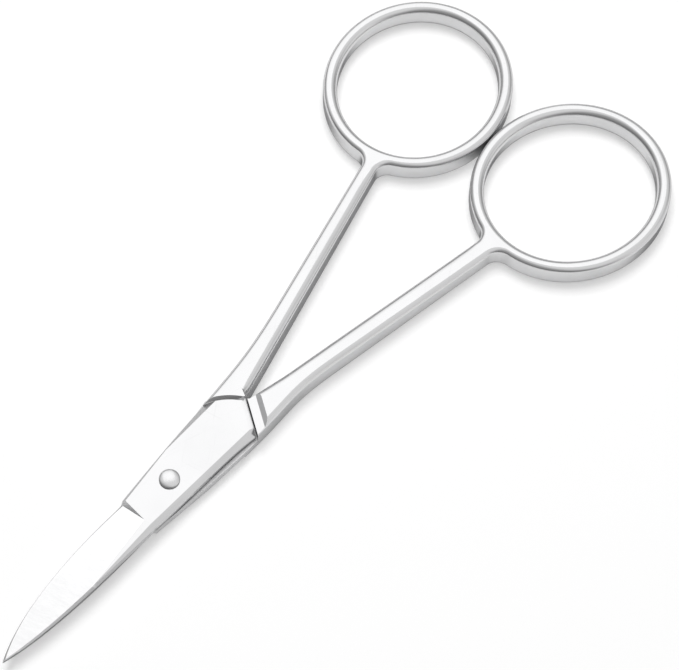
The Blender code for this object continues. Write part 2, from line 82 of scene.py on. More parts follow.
# The cutters leave slivers up to this wide, which would hold back the rounding of the edges.
SLIVER = 0.00001

# Rounds and halvings that settle a place to far below a micrometre.
SETTLE_ROUNDS = 8
HALVINGS = 40

# Bevel profile of a circular arc, and how far from a side its rounding's points lie, in widths.
ROUND_PROFILE = 0.5
ROUNDING_REACH = 1.1

# Edges sharper than this stay sharp in the shading, which the larger faces lead by this weight.
CRISPEST = math.radians(32)
FLATS_LEAD = 80

# How much bluer steel is than a neutral grey.
BLUER = 0.005

# What goes into one input of a shader node, and into several by name or number.
Feed = NodeSocket | float | tuple[float, ...]
Feeds = dict[str | int, Feed]


class Side(Enum):
    """The two halves, named as the bodies that they ride on."""

    FRONT = "front"
    REAR = "rear"


class Surface(Enum):
    """The finishes on a half, each named after the tool that leaves it, with painted light and shade in
    some of their greys.
    """

    POLISHED = "polished"
    STEP = "step"
    SHOULDER = "shoulder"
    FACET = "facet"
    OUTER_FACET = "outer_facet"
    HOLLOW = "hollow"
    BLADE = "blade"
    WHETTED = "whetted"


# Sizes of one half, in plan and in height.


@dataclass(frozen=True)
class Fineness:
    """How finely the curves are cut into straight pieces."""

    ring: int = 144
    hole: int = 144
    fillet: int = 14
    flare: int = 8
    curve: int = 36
    edge: int = 48
    rounding: int = 8
    wheel: int = 40
    pin: int = 96
    taper: int = 20


@dataclass(frozen=True)
class Ring:
    """Finger ring: an oval bar with rounded edges."""

    radius_across: float = 0.01149
    radius_along: float = 0.01262
    bar_width: float = 0.00186
    height: float = 0.0033
    hole_rounding: float = 0.00088
    hole_rounding_height: float = 0.001
    from_pivot: float = 0.06517
    gap: float = 0.00016

    @property
    def half_bar(self) -> float:
        """Half the width of the bar."""
        return self.bar_width / 2

    @property
    def reach(self) -> float:
        """From the ring's centre to its outside, along the shank."""
        return self.radius_along + self.half_bar

    @property
    def top(self) -> float:
        """Height of the ring's top over the lap plane."""
        return self.height / 2

    def oval(self, turn: float, outwards: float) -> Vector:
        """A point beside the ring's oval.

        Args:
            turn: angle round the ring, from the side of the shank.
            outwards: distance outwards from the middle of the bar.

        Returns:
            The point as (along, aside) from the ring's centre.
        """
        on_oval = Vector((self.radius_along * math.cos(turn), self.radius_across * math.sin(turn)))
        normal = Vector((math.cos(turn) / self.radius_along, math.sin(turn) / self.radius_across))
        return on_oval + normal.normalized() * outwards


@dataclass(frozen=True)
class Shank:
    """The bar between the ring and the joint."""

    width_at_ring: float
    width_at_joint: float
    crotch_setback: float
    crotch_flare: float
    flare_length: float = 0.006
    rise: float = 0.0005
    full_height_length: float = 0.007
    fillet_radius: float = 0.0019
    crotch_from_pivot: float = 0.01443
    crotch_gap: float = 0.00015
    rounding: float = 0.00075
    rounded_share: float = 0.42
    inner_widening: float = 0.35
    widening_length: float = 0.002


@dataclass(frozen=True)
class Plate:
    """Half of the lapped joint, with its end against the other half's shoulder."""

    outer_bend: float
    outer_ease: float
    outer_straight: float
    outer_lean: float
    step_radius: float
    thickness: float = 0.0014
    lap_gap: float = 0.0001
    end_angle: float = math.radians(35.7)
    corner_x: float = 0.0041
    shoulder_gap: float = 0.00015
    shoulder_strip: float = 0.0011
    shoulder_slope: float = 1.2
    step_slope: float = 0.7
    step_turn: float = math.radians(27)
    step_setback: float = 0.0001
    outer_facet_at_step: float = 0.00085
    outer_facet_at_heel: float = 0.00055
    outer_facet_slope_at_step: float = 0.5
    outer_facet_slope_at_heel: float = 0.9
    spine_facet_at_corner: float = 0.0033
    spine_facet_at_heel: float = 0.00213
    spine_facet_slope: float = 0.9
    end_facet_width: float = 0.0006
    end_facet_slope: float = 0.2
    pin_hole_radius: float = 0.00103
    tail_hole_radius: float = 0.00143
    tail_depth: float = 0.0005


@dataclass(frozen=True)
class Blade:
    """The blade, with its inner face on the lap plane and its ground face outside."""

    heel_edge_x: float
    edge_fullness: float
    belly: float
    from_pivot: float = 0.0301
    heel_from_pivot: float = 0.006
    heel_spine_x: float = 0.00275
    spine_belly: float = 0.0021
    face_start_x: float = 0.0012
    face_wall_slope: float = 2.0
    edge_thickness: float = 0.00043
    tip_thickness: float = 0.00055
    bevel_slope: float = 1.7
    land: float = 0.00006
    upper_handle: float = 0.3
    edge_lower_handle: float = 0.735
    spine_lower_handle: float = 0.7
    spine_fullness: float = 0.84
    waist_handle: float = 0.4
    waist_fullness: float = 1.22
    corner_handle: float = 0.78
    corner_fullness: float = 0.83

    def along(self, share: float) -> float:
        """The y that lies this share of the way from the heel to the tip."""
        return -self.heel_from_pivot - share * (self.from_pivot - self.heel_from_pivot)


@dataclass(frozen=True)
class HalfPlan:
    """The plan of one half, lying as the front half lies."""

    shank: Shank
    plate: Plate
    blade: Blade
    ring: Ring = Ring()
    fine: Fineness = Fineness()

    @property
    def ride_height(self) -> float:
        """Height of the inner face over the lap plane."""
        return self.plate.lap_gap / 2

    @property
    def plate_top(self) -> float:
        """Height of the plate's outer face."""
        return self.ride_height + self.plate.thickness

    @property
    def shank_top(self) -> float:
        """Height of the shank's top next to the joint."""
        return self.plate_top + self.shank.rise

    @property
    def lap_corner(self) -> Vector:
        """Where the two plates' ends meet in plan, a gap off the middle."""
        return Vector((-self.shank.crotch_gap / 2, self.shank.crotch_from_pivot))

    @property
    def end_along(self) -> Vector:
        """Direction of the plate's end, towards its corner."""
        return Vector((math.cos(self.plate.end_angle), -math.sin(self.plate.end_angle)))

    @property
    def end_out(self) -> Vector:
        """Direction out of the plate's end."""
        return Vector((math.sin(self.plate.end_angle), math.cos(self.plate.end_angle)))

    @property
    def shoulder_along(self) -> Vector:
        """Direction of the shoulder, away from the middle."""
        return Vector((-self.end_along.x, self.end_along.y))

    @property
    def shoulder_out(self) -> Vector:
        """Direction from the other plate's end into the shank."""
        return Vector((-self.end_out.x, self.end_out.y))

    @property
    def crotch(self) -> Vector:
        """Where the straight of the shank's inner side meets the line of the plate's end."""
        return self.lap_corner - self.end_along * self.shank.crotch_setback

    @property
    def plate_corner(self) -> Vector:
        """The far corner of the plate's end."""
        length = (self.plate.corner_x - self.lap_corner.x) / self.end_along.x
        return self.lap_corner + self.end_along * length

    @property
    def heel_edge(self) -> Vector:
        """Where the cutting edge starts."""
        return Vector((-self.blade.heel_edge_x, -self.blade.heel_from_pivot))

    @property
    def heel_spine(self) -> Vector:
        """The blade's back, level with the heel."""
        return Vector((self.blade.heel_spine_x, -self.blade.heel_from_pivot))

    @property
    def tip(self) -> Vector:
        """The blade's tip."""
        return Vector((0, -self.blade.from_pivot))

    @property
    def step_foot_radius(self) -> float:
        """Radius of the wheel's cut where it meets the plate."""
        return self.plate.step_radius - self.shank.rise * self.plate.step_slope

    @property
    def step_centre(self) -> Vector:
        """Centre of the wheel that cuts the arched step."""
        turn = self.plate.step_turn
        toward_tip = Vector((math.sin(turn), -math.cos(turn)))
        return self.lap_corner + toward_tip * (self.plate.step_radius + self.plate.step_setback)

    @cached_property
    def ring_place(self) -> tuple[Vector, Vector]:
        """The ring's centre, and the unit vector from it down the middle of the shank."""
        centre = Vector((-self.ring.radius_across, self.ring.from_pivot))
        down = (self.crotch - centre).normalized()
        for _ in range(SETTLE_ROUNDS):
            across = self.ring.radius_across * down.y
            reach = math.hypot(across, self.ring.radius_along * down.x)
            centre.x = -(reach + self.ring.half_bar + self.ring.gap / 2)
            to_crotch = self.crotch - centre
            lean = math.asin(self.shank.width_at_joint / 2 / to_crotch.length)
            down = Matrix.Rotation(-lean, 2) @ to_crotch.normalized()
        return centre, down

    @property
    def arm_length(self) -> float:
        """From the ring's centre to the crotch, down the shank."""
        centre, down = self.ring_place
        return (self.crotch - centre).dot(down)

    def arm_point(self, along: float, aside: float) -> Vector:
        """The point this far down the shank from the ring's centre, and this far out."""
        centre, down = self.ring_place
        return centre + down * along - down.orthogonal() * aside

    def shank_width(self, along: float) -> float:
        """Width of the shank this far from the ring's centre."""
        share = (along - self.ring.reach) / (self.arm_length - self.ring.reach)
        return self.shank.width_at_ring * (1 - share) + self.shank.width_at_joint * share

    def widening(self, along: float) -> float:
        """How much wider than the others the inner side's rounding is here.

        Args:
            along: distance from the ring's centre, down the shank.

        Returns:
            The widening, as a share of the rounding's width.
        """
        from_ring = along - self.ring.reach - self.shank.fillet_radius
        from_end = min(from_ring, self.arm_length - along)
        share = min(max(from_end / self.shank.widening_length, 0.0), 1.0)
        return self.shank.inner_widening * share

    def fillet(self) -> tuple[float, list[Vector]]:
        """The hollow curve between the shank and the ring.

        Returns:
            The turn where it meets the ring, and its (along, aside) points from the shank.
        """
        radius = self.shank.fillet_radius
        start = Vector((self.ring.reach, self.shank.width_at_ring / 2))
        end = Vector((self.arm_length, self.shank.width_at_joint / 2))
        away = (end - start).orthogonal().normalized()
        low, high = 0.0, math.pi / 2
        for _ in range(HALVINGS):
            turn = (low + high) / 2
            middle = self.ring.oval(turn, self.ring.half_bar + radius)
            if (middle - start).dot(away) < radius:
                low = turn
            else:
                high = turn
        first = -away
        sweep = first.angle_signed(self.ring.oval(turn, self.ring.half_bar) - middle)
        points = []
        for step in range(self.fine.fillet):
            spoke = Matrix.Rotation(-sweep * step / self.fine.fillet, 2) @ first
            points.append(middle + spoke * radius)
        return turn, points

    def arm_outline(self) -> list[Vector]:
        """Plan of the shank and the ring's outside: up the inner side and down the outer."""
        turn, rise = self.fillet()
        inner = [self.arm_point(point.x, -point.y) for point in rise]
        outer = [self.arm_point(point.x, point.y) for point in reversed(rise)]
        sweep = 2 * math.pi - 2 * turn
        ring = []
        for step in range(self.fine.ring + 1):
            angle = -turn - sweep * step / self.fine.ring
            ring.append(self.arm_point(*self.ring.oval(angle, self.ring.half_bar)))
        return [*self.inner_flare(), *inner, *ring, *outer]

    def inner_flare(self) -> list[Vector]:
        """Plan of the inner side's first stretch, which flares in towards the other half."""
        inner_top = self.arm_point(self.ring.reach, -self.shank.width_at_ring / 2)
        along = (inner_top - self.crotch).normalized()
        start = self.crotch + self.end_along * self.shank.crotch_flare
        end = self.crotch + along * self.shank.flare_length
        reach = along * self.shank.flare_length / 3
        return bezier(start, start + reach, end - reach, end, self.fine.flare)

    def outer_side(self) -> list[Vector]:
        """Plan of the outer side, from the straight of the shank down to the heel."""
        top = self.arm_point(self.ring.reach, self.shank.width_at_ring / 2)
        bottom = self.arm_point(self.arm_length, self.shank.width_at_joint / 2)
        slope = (bottom - top).normalized()
        start = bottom + slope * ((self.plate.outer_bend - bottom.y) / slope.y)
        easing = start + slope * self.plate.outer_ease
        leaning = Vector((-self.plate.outer_lean, 1)) * self.plate.outer_straight
        return bezier(start, easing, self.heel_edge + leaning, self.heel_edge, self.fine.curve)

    def outer_side_x(self, y: float) -> float:
        """Looks up the outer side of the plan.

        Args:
            y: where along the half.

        Returns:
            X of the outer side there, or of the heel from there on down.
        """
        side = self.outer_side()
        for above, below in zip(side, side[1:]):
            if below.y <= y:
                share = (above.y - y) / (above.y - below.y)
                return above.x + (below.x - above.x) * share
        return self.heel_edge.x

    def cutting_edge(self) -> list[Vector]:
        """Plan of the cutting edge, from the heel to the tip."""
        blade = self.blade
        upper = Vector((-blade.edge_fullness * blade.heel_edge_x, blade.along(blade.upper_handle)))
        lower = Vector((-blade.belly, blade.along(blade.edge_lower_handle)))
        return bezier(self.heel_edge, upper, lower, self.tip, self.fine.edge)

    def spine(self) -> list[Vector]:
        """Plan of the blade's back, from the tip to the heel."""
        blade = self.blade
        lower = Vector((blade.spine_belly, blade.along(blade.spine_lower_handle)))
        full = blade.spine_fullness * blade.heel_spine_x
        upper = Vector((full, blade.along(blade.upper_handle)))
        return bezier(self.tip, lower, upper, self.heel_spine, self.fine.curve)

    def inner_side(self) -> list[Vector]:
        """Plan of the plate's side over the other half, from the heel to the plate's corner."""
        blade = self.blade
        rise = self.plate_corner.y + blade.heel_from_pivot
        waist = blade.waist_fullness * blade.heel_spine_x
        lower = Vector((waist, self.heel_spine.y + blade.waist_handle * rise))
        full = blade.corner_fullness * self.plate.corner_x
        upper = Vector((full, self.heel_spine.y + blade.corner_handle * rise))
        return bezier(self.heel_spine, lower, upper, self.plate_corner, self.fine.curve)

    def outline(self) -> list[Vector]:
        """Plan of the whole half, without the finger hole."""
        return [
            *self.arm_outline(),
            *self.outer_side()[:-1],
            *self.cutting_edge()[:-1],
            *self.spine()[:-1],
            *self.inner_side(),
        ]

    def step_foot(self, x: float) -> Vector:
        """The point on the foot of the step at this x."""
        aside = x - self.step_centre.x
        rise = math.sqrt(self.step_foot_radius**2 - aside**2)
        return Vector((x, self.step_centre.y + rise))

    def face_height(self, point: Vector) -> float:
        """Works out the plane of the blade's ground face, from the heel and the tip.

        Args:
            point: a point in plan.

        Returns:
            The face's height there.
        """
        blade = self.blade
        drop = self.plate_top - self.ride_height - blade.edge_thickness
        across = drop / (blade.face_start_x + blade.heel_edge_x)
        at_heel = self.plate_top - across * blade.face_start_x
        fall = at_heel - self.ride_height - blade.tip_thickness
        along = fall / (blade.from_pivot - blade.heel_from_pivot)
        return at_heel + across * point.x + along * (point.y + blade.heel_from_pivot)


FRONT_PLAN = HalfPlan(
    shank=Shank(
        width_at_ring=0.0021, width_at_joint=0.00264, crotch_setback=0, crotch_flare=0
    ),
    plate=Plate(
        outer_bend=0.0276,
        outer_ease=0.0116,
        outer_straight=0.022,
        outer_lean=0.0654,
        step_radius=0.0085,
    ),
    blade=Blade(heel_edge_x=0.00258, edge_fullness=1.2, belly=0.0031),
)
REAR_PLAN = HalfPlan(
    shank=Shank(
        width_at_ring=0.00256, width_at_joint=0.00251, crotch_setback=0.0007, crotch_flare=0.0003
    ),
    plate=Plate(
        outer_bend=0.0255,
        outer_ease=0.0108,
        outer_straight=0.025,
        outer_lean=0.14,
        step_radius=0.0096,
    ),
    blade=Blade(heel_edge_x=0.0026, edge_fullness=1.0, belly=0.0021),
    ring=Ring(radius_across=0.01159, radius_along=0.01272, from_pivot=0.06525),
)


# Plain tools for curves and meshes.


def bezier(
    start: Vector, handle: Vector, other_handle: Vector, end: Vector, steps: int
) -> list[Vector]:
    """Points along a cubic curve in plan, with both its ends."""
    knots = [point.to_3d() for point in (start, handle, other_handle, end)]
    return [point.to_2d() for point in interpolate_bezier(*knots, steps + 1)]


def add_object(name: str, bm: BMesh, materials: Iterable[Material] = ()) -> Object:
    """Makes an object of a bmesh, with its faces turned outwards.

    Args:
        name: the object's name.
        bm: the mesh, which is used up.
        materials: what its material slots hold.

    Returns:
        The object.
    """
    bmesh.ops.recalc_face_normals(bm, faces=bm.faces)
    mesh = bpy.data.meshes.new(name)
    bm.to_mesh(mesh)
    bm.free()
    for material in materials:
        mesh.materials.append(material)
    obj = bpy.data.objects.new(name, mesh)
    bpy.context.scene.collection.objects.link(obj)
    return obj


def loft(name: str, sections: list[list[Vector]]) -> Object:
    """A closed solid through sections, with a flat cap at both ends.

    Args:
        name: the object's name.
        sections: closed loops with the same number of points each.

    Returns:
        The solid, whose first cap is its only face with material index 1.
    """
    bm = bmesh.new()
    rings = [[bm.verts.new(point) for point in section] for section in sections]
    loops = [[bm.edges.new(pair) for pair in zip(ring, ring[1:] + ring[:1])] for ring in rings]
    for lower, upper in zip(loops, loops[1:]):
        bmesh.ops.bridge_loops(bm, edges=lower + upper)
    bm.faces.new(rings[0]).material_index = 1
    bm.faces.new(rings[-1])
    return add_object(name, bm)


def turned_solid(name: str, profile: list[tuple[float, float]], steps: int) -> Object:
    """A solid turned about Z.

    Args:
        name: the object's name.
        profile: (radius, height) points, from the axis and back to it.
        steps: how many pieces the turn is cut into.

    Returns:
        The solid.
    """
    bm = bmesh.new()
    verts = [bm.verts.new((radius, 0, height)) for radius, height in profile]
    edges = [bm.edges.new(pair) for pair in zip(verts, verts[1:])]
    spun = [*verts, *edges]
    bmesh.ops.spin(
        bm, geom=spun, cent=(0, 0, 0), axis=UP, angle=2 * math.pi, steps=steps, use_merge=True
    )
    bmesh.ops.remove_doubles(bm, verts=bm.verts, dist=TOUCHING)
    return add_object(name, bm)


def underside(cutter: Object) -> Object:
    """Turns a cutter over, so that it works from below the lap plane."""
    cutter.data.transform(Matrix.Diagonal((1, 1, -1, 1)))
    cutter.data.flip_normals()
    return cutter


def bevel(bm: BMesh, edges: list[BMEdge], width: float, segments: int, clamp: bool) -> list[BMFace]:
    """Rounds edges to an arc.

    Args:
        bm: the mesh.
        edges: the edges.
        width: how far from the edge the arc starts.
        segments: how many pieces the arc is cut into.
        clamp: whether the roundings are narrowed where they would overlap.

    Returns:
        The faces of the roundings.
    """
    return bmesh.ops.bevel(
        bm,
        geom=edges,
        offset=width,
        segments=segments,
        profile=ROUND_PROFILE,
        affect="EDGES",
        clamp_overlap=clamp,
        material=-1,
    )["faces"]


@dataclass(frozen=True)
class EdgeRounding:
    """The small radius that polishing leaves on ground edges."""

    width: float
    segments: int = 3
    sharpest: float = math.radians(24)

    def apply(self, bm: BMesh, spared: set[int]) -> None:
        """Rounds the convex edges, and stores what the finishes read from the mesh.

        That is how upright each point stands, which the finishes turn into painted side shade and
        roughness, and which faces are roundings.

        Args:
            bm: the mesh.
            spared: material indices of faces that keep their edges crisp.
        """
        upright = bm.verts.layers.float.new("upright")
        rounded = bm.faces.layers.float.new("edge")
        edges = []
        for edge in bm.edges:
            if not edge.is_manifold or not edge.is_convex:
                continue
            crisp = any(face.material_index in spared for face in edge.link_faces)
            if not crisp and edge.calc_face_angle() > self.sharpest:
                edges.append(edge)
        for face in bevel(bm, edges, self.width, self.segments, clamp=True):
            face[rounded] = 1
        bm.normal_update()
        for vert in bm.verts:
            # Read by the finishes for their painted side grey and their rougher walls.
            vert[upright] = 1 - abs(vert.normal.z)


def smooth(obj: Object) -> None:
    """Gives a piece smooth shading that keeps its flats flat and its sharp edges sharp."""
    obj.data.shade_smooth()
    obj.data.set_sharp_from_angle(angle=CRISPEST)
    modifier = obj.modifiers.new("flat_faces_lead", "WEIGHTED_NORMAL")
    modifier.mode = "FACE_AREA"
    modifier.weight = FLATS_LEAD
    modifier.keep_sharp = True


# The shared shader effects.


def cool_grey(level: float) -> tuple[float, float, float, float]:
    """Steel's grey at a level, as a colour."""
    return (level, level, level + BLUER, 1.0)


@dataclass(frozen=True)
class Graph:
    """A shader node tree, with short ways to add nodes to it."""

    tree: NodeTree

    def feed(self, node: Node, fed: Feeds) -> None:
        """Links or sets the inputs of a node.

        Args:
            node: the node.
            fed: what goes into each input, as another node's output or as a value.
        """
        for label, given in fed.items():
            if isinstance(given, NodeSocket):
                self.tree.links.new(given, node.inputs[label])
            else:
                node.inputs[label].default_value = given

    def add(self, kind: str, fed: Feeds | None = None, **settings: str | NodeTree) -> NodeOutputs:
        """Adds a node.

        Args:
            kind: its type, as Blender names it after ShaderNode.
            fed: what goes into each input.
            settings: its options.

        Returns:
            The node's outputs.
        """
        node = self.tree.nodes.new("ShaderNode" + kind)
        for name, setting in settings.items():
            setattr(node, name, setting)
        self.feed(node, fed or {})
        return node.outputs

    def noise(
        self, place: NodeSocket, scale: float, detail: float, roughness: float = 0.5
    ) -> NodeSocket:
        """Adds noise of so many clouds per metre."""
        fed = {"Vector": place, "Scale": scale, "Detail": detail, "Roughness": roughness}
        return self.add("TexNoise", fed)["Fac"]

    def rotate(self, place: NodeSocket, turn: Feed) -> NodeSocket:
        """Turns a place about Z."""
        return self.add("VectorRotate", {"Vector": place, "Angle": turn}, rotation_type="Z_AXIS")["Vector"]

    def ramp(self, value: NodeSocket, low: float, high: float) -> NodeSocket:
        """Adds a smooth step of a value, 0 up to low and 1 from high."""
        fed = {"Value": value, "From Min": low, "From Max": high}
        return self.add("MapRange", fed, interpolation_type="SMOOTHSTEP")["Result"]

    def combine(self, operation: str, first: NodeSocket, second: Feed) -> NodeSocket:
        """Adds a sum, product or other operation of two values."""
        return self.add("Math", {0: first, 1: second}, operation=operation)["Value"]

    def mix(self, share: NodeSocket, first: Feed, second: Feed) -> NodeSocket:
        """Adds a mix of two colours, from the first at share 0 to the second at 1."""
        return self.add("Mix", {0: share, 6: first, 7: second}, data_type="RGBA")[2]


@dataclass(frozen=True)
class Lines:
    """Lines at a turn from Y, so many per metre and so many times longer than wide."""

    turn: float
    per_metre: float
    longer: float
    detail: float = 3
    roughness: float = 0.62

    def add(self, graph: Graph, place: NodeSocket) -> NodeSocket:
        """Adds noise that is drawn out into the lines.

        Args:
            graph: the tree that it goes in.
            place: the place on the surface.

        Returns:
            The value of the noise.
        """
        turned = graph.rotate(place, self.turn)
        finer = (self.per_metre, self.per_metre / self.longer, self.per_metre)
        drawn = graph.add("VectorMath", {0: turned, 1: finer}, operation="MULTIPLY")["Vector"]
        return graph.noise(drawn, 1.0, self.detail, self.roughness)


@dataclass
class Effects:
    """The shared shader effects, each made once as a node group. Scales are per metre."""

    fine_lines: Lines = Lines(turn=0.0, per_metre=5200.0, longer=60.0)
    broad_lines: Lines = Lines(turn=math.radians(2), per_metre=1500.0, longer=30.0)
    ground_step: tuple[float, float] = (0.7, 1.3)
    mop_turns: tuple[float, ...] = (0.35, 1.4, 2.6)
    mop_lines_per_metre: float = 3600.0
    mop_lines_longer: float = 45.0
    mop_step: tuple[float, float] = (0.62, 0.74)
    cloud_scale: float = 420.0
    swell_scale: float = 230.0
    film_scale: float = 170.0
    film_step: tuple[float, float] = (0.3, 0.8)
    wear_scale: float = 900.0
    wear_step: tuple[float, float] = (0.35, 0.65)

    def __post_init__(self) -> None:
        """Makes the groups."""
        self.grinding = self.group("grinding_lines", self.ground_lines, ["Turn"])
        self.polishing = self.group("polishing_marks", self.mop_marks)
        self.handling = self.group("handling_film", self.wiped_film)
        self.wear = self.group("edge_wear", self.rubbed_edges, ["Edge"])

    @staticmethod
    def group(
        name: str,
        fill: Callable[[Graph, NodeOutputs], dict[str, NodeSocket]],
        numbers: Iterable[str] = (),
    ) -> NodeTree:
        """Makes a node group that reads a place on the surface.

        Args:
            name: the group's name.
            fill: adds the nodes between what goes in and what it returns, by name.
            numbers: the numbers that go in besides the place.

        Returns:
            The group.
        """
        tree = bpy.data.node_groups.new(name, "ShaderNodeTree")
        tree.interface.new_socket("Place", in_out="INPUT", socket_type="NodeSocketVector")
        for label in numbers:
            tree.interface.new_socket(label, in_out="INPUT", socket_type="NodeSocketFloat")
        values = fill(Graph(tree), tree.nodes.new("NodeGroupInput").outputs)
        for label in values:
            tree.interface.new_socket(label, in_out="OUTPUT", socket_type="NodeSocketFloat")
        Graph(tree).feed(tree.nodes.new("NodeGroupOutput"), values)
        return tree

    def ground_lines(self, graph: Graph, given: NodeOutputs) -> dict[str, NodeSocket]:
        """Long parallel lines that a grinding wheel leaves, along the piece or across it."""
        place = graph.rotate(given["Place"], given["Turn"])
        fine = self.fine_lines.add(graph, place)
        both = graph.combine("ADD", fine, self.broad_lines.add(graph, place))
        return {"Height": both, "Shade": graph.ramp(both, *self.ground_step)}

    def mop_marks(self, graph: Graph, given: NodeOutputs) -> dict[str, NodeSocket]:
        """Hair-fine marks of the polishing mop, in three directions, and the swell under them."""
        place = given["Place"]
        shade = 0.0
        for turn in self.mop_turns:
            noise = Lines(turn, self.mop_lines_per_metre, self.mop_lines_longer).add(graph, place)
            shade = graph.combine("ADD", graph.ramp(noise, *self.mop_step), shade)
        height = graph.combine("ADD", shade, graph.noise(place, self.cloud_scale, detail=2))
        waves = graph.noise(place, self.swell_scale, detail=1)
        return {"Height": height, "Shade": shade, "Waves": waves}

    def wiped_film(self, graph: Graph, given: NodeOutputs) -> dict[str, NodeSocket]:
        """Faint cloudy film that wiping leaves on polished steel."""
        cloud = graph.noise(given["Place"], self.film_scale, detail=2)
        return {"Film": graph.ramp(cloud, *self.film_step)}

    def rubbed_edges(self, graph: Graph, given: NodeOutputs) -> dict[str, NodeSocket]:
        """Where use has rubbed the edges, broken up along their length."""
        patches = graph.noise(given["Place"], self.wear_scale, detail=3)
        broken = graph.ramp(patches, *self.wear_step)
        return {"Rubbed": graph.combine("MULTIPLY", broken, given["Edge"])}


@dataclass(frozen=True)
class SteelFinish:
    """One finish of the stainless steel: its grey levels, its roughness and its tool marks.

    With a ground turn it is ground, in lines at that turn from Y. Without one it is polished.
    Its side grey and its rim are painted light and shade: upright walls get a grey of their own,
    and a dark rim is painted along the outline, where the view grazes the surface.
    """

    name: str
    bright: float = 0.63
    # Grey of upright walls: painted light and shade, in place of what the walls mirror.
    side: float = 0.66
    # Grey at the outline: a painted dark rim.
    rim: float = 0.12
    roughness: float = 0.14
    side_roughness: float = 0.4
    ground_turn: float | None = None
    shade_depth: float = 0.06
    relief: float = 0.12
    # Steps of the painted side grey, by uprightness, and of the painted dark rim, by how the view grazes.
    painted_side_step: tuple[float, float] = (0.45, 0.9)
    painted_rim_step: tuple[float, float] = (0.6, 0.85)
    rubbed_gain: float = 1.1
    film_share: float = 0.35
    mark_level: float = 0.3
    haze: float = 0.05
    mark_depth: float = 0.00001
    wave_depth: float = 0.00005

    def material(self, effects: Effects) -> Material:
        """Builds the material, for a mesh with the upright and edge attributes.

        Args:
            effects: the shared shader effects.

        Returns:
            The material.
        """
        material = bpy.data.materials.new(self.name)
        material.use_nodes = True
        graph = Graph(material.node_tree)
        place = graph.add("TexCoord")["Object"]
        film = graph.add("Group", {0: place}, node_tree=effects.handling)["Film"]
        edge = graph.add("Attribute", attribute_name="edge")["Fac"]
        rubbed = graph.add("Group", {0: place, 1: edge}, node_tree=effects.wear)["Rubbed"]
        upright = graph.add("Attribute", attribute_name="upright")["Fac"]
        # Painted light and shade: upright walls take the side grey.
        side = graph.ramp(upright, *self.painted_side_step)
        # Painted shade: a dark rim where the view grazes the surface.
        rim = graph.ramp(graph.add("LayerWeight")["Facing"], *self.painted_rim_step)
        if self.ground_turn is None:
            marks = graph.add("Group", {0: place}, node_tree=effects.polishing)
            wave = {"Height": marks["Waves"], "Distance": self.wave_depth}
            under = {"Normal": graph.add("Bump", wave)["Normal"]}
        else:
            marks = graph.add("Group", {0: place, 1: self.ground_turn}, node_tree=effects.grinding)
            under = {}
        # The grey goes on in coats: the side grey and the rim are painted light and shade, while the
        # rubbed edges, the wiped film and the tool marks are the steel's own.
        layers = [
            (side, self.side),
            (rubbed, self.bright * self.rubbed_gain),
            (graph.combine("MULTIPLY", film, self.film_share), self.bright * (1 - self.shade_depth)),
            (graph.combine("MULTIPLY", marks["Shade"], self.shade_depth), self.mark_level),
            (rim, self.rim),
        ]
        colour = cool_grey(self.bright)
        for share, level in layers:
            colour = graph.mix(share, colour, cool_grey(level))
        rough = self.roughness
        rougher = self.side_roughness - self.roughness
        for share, more in ((film, self.haze), (marks["Shade"], self.haze), (side, rougher)):
            rough = graph.combine("ADD", graph.combine("MULTIPLY", share, more), rough)
        relief = {"Height": marks["Height"], "Strength": self.relief, "Distance": self.mark_depth}
        normal = graph.add("Bump", {**relief, **under})["Normal"]
        steel = {"Metallic": 1.0, "Base Color": colour, "Roughness": rough, "Normal": normal}
        graph.feed(graph.tree.nodes["Principled BSDF"], steel)
        return material


class SteelFinishes:
    """The finishes that the pieces share, each made once."""

    def __init__(self, effects: Effects) -> None:
        """Makes every material from the shared effects."""
        across = math.radians(78)
        finishes = {
            Surface.POLISHED: SteelFinish("polished_steel"),
            # The step's darker grey is painted shade in its corner; its roughness is the milling's.
            Surface.STEP: SteelFinish("milled_step", bright=0.5, side=0.48, roughness=0.4),
            # The shoulders' lighter grey is painted light, lifting the dark line that their walls would
            # show; the roughness is the milling's.
            Surface.SHOULDER: SteelFinish(
                "milled_shoulder", bright=0.74, side=0.74, roughness=0.6, side_roughness=0.6
            ),
            Surface.FACET: SteelFinish("ground_facet", roughness=0.17, ground_turn=0.0, relief=0.2),
            # The lighter grey of these walls is painted light, in place of the bright surroundings that
            # they mirror.
            Surface.OUTER_FACET: SteelFinish(
                "ground_outer_facet", side=0.72, roughness=0.4, ground_turn=0.0, relief=0.2
            ),
            # The lap's lighter walls are painted light too.
            Surface.HOLLOW: SteelFinish("ground_lap", side=0.72, roughness=0.35, ground_turn=across),
            # The blade's brighter grey is painted light, the softbox's gleam on the ground face.
            Surface.BLADE: SteelFinish(
                "blade_grind", bright=0.75, roughness=0.16, ground_turn=across, shade_depth=0.02
            ),
            Surface.WHETTED: SteelFinish(
                "whetted_edge", bright=0.66, roughness=0.2, ground_turn=0.0, relief=0.1
            ),
        }
        self.materials = {surface: steel.material(effects) for surface, steel in finishes.items()}
        # The rivet's dark sides are painted shade.
        rivet = SteelFinish("rivet_steel", bright=0.66, side=0.4, roughness=0.24)
        self.rivet = rivet.material(effects)


# The pieces.


